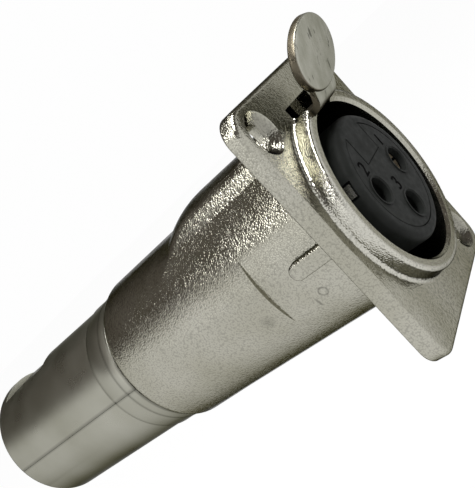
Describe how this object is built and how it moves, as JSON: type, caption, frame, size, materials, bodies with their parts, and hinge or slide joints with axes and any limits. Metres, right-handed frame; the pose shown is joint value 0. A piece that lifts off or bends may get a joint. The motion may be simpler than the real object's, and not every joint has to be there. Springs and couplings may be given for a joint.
{
  "type": "xlr panel feedthrough socket",
  "caption": "Square-flanged panel connector: a latching round socket with contacts in front, a round male pin barrel behind.",
  "frame": {"origin": "centre of the flange's rear face, on the axis of the socket and the barrel", "axes": "+Y along the barrel towards the pins, -Y out of the socket mouth, +Z towards the latch, +X to the right seen from the front"},
  "size_m": [0.026, 0.0729, 0.033],
  "materials": {
    "nickel_casting": "nickel plate over a cast zinc skin, slightly rippled",
    "satin_nickel": "satin nickel plate, smoother than the body",
    "black_plastic": "matt moulded, glass filled",
    "contact_metal": "silver plated brass, fine turned",
    "wire_cover": "extruded insulation over tinned wire",
    "lever_steel": "stamped, satin, with small pits",
    "spring_steel": "bright rolled"
  },
  "bodies": {
    "housing": {"front_housing": "nickel_casting", "rear_shell": "satin_nickel", "socket_sleeve": "black_plastic", "socket_core": "black_plastic", "spacer_tube": "black_plastic", "pin_carrier": "black_plastic", "socket_contact_1": "contact_metal", "socket_contact_2": "contact_metal", "socket_contact_3": "contact_metal", "male_pin_1": "contact_metal", "male_pin_2": "contact_metal", "male_pin_3": "contact_metal", "link_wire_1": "wire_cover", "link_wire_2": "wire_cover", "link_wire_3": "wire_cover", "latch_pivot_pin": "spring_steel", "latch_spring": "spring_steel", "earth_spring": "spring_steel", "snap_ring": "spring_steel"},
    "latch": {"latch_lever": "lever_steel"}
  },
  "joints": [
    {"name": "latch_lift", "type": "hinge", "parent": "housing", "child": "latch", "pos_m": [0, 0.016, 0.01005], "axis": [-1, 0, 0], "range_deg": [0, 5], "stiffness_Nm_per_rad": 0.1, "springref_deg": -11.46, "deforming": ["latch_spring"]}
  ]
}
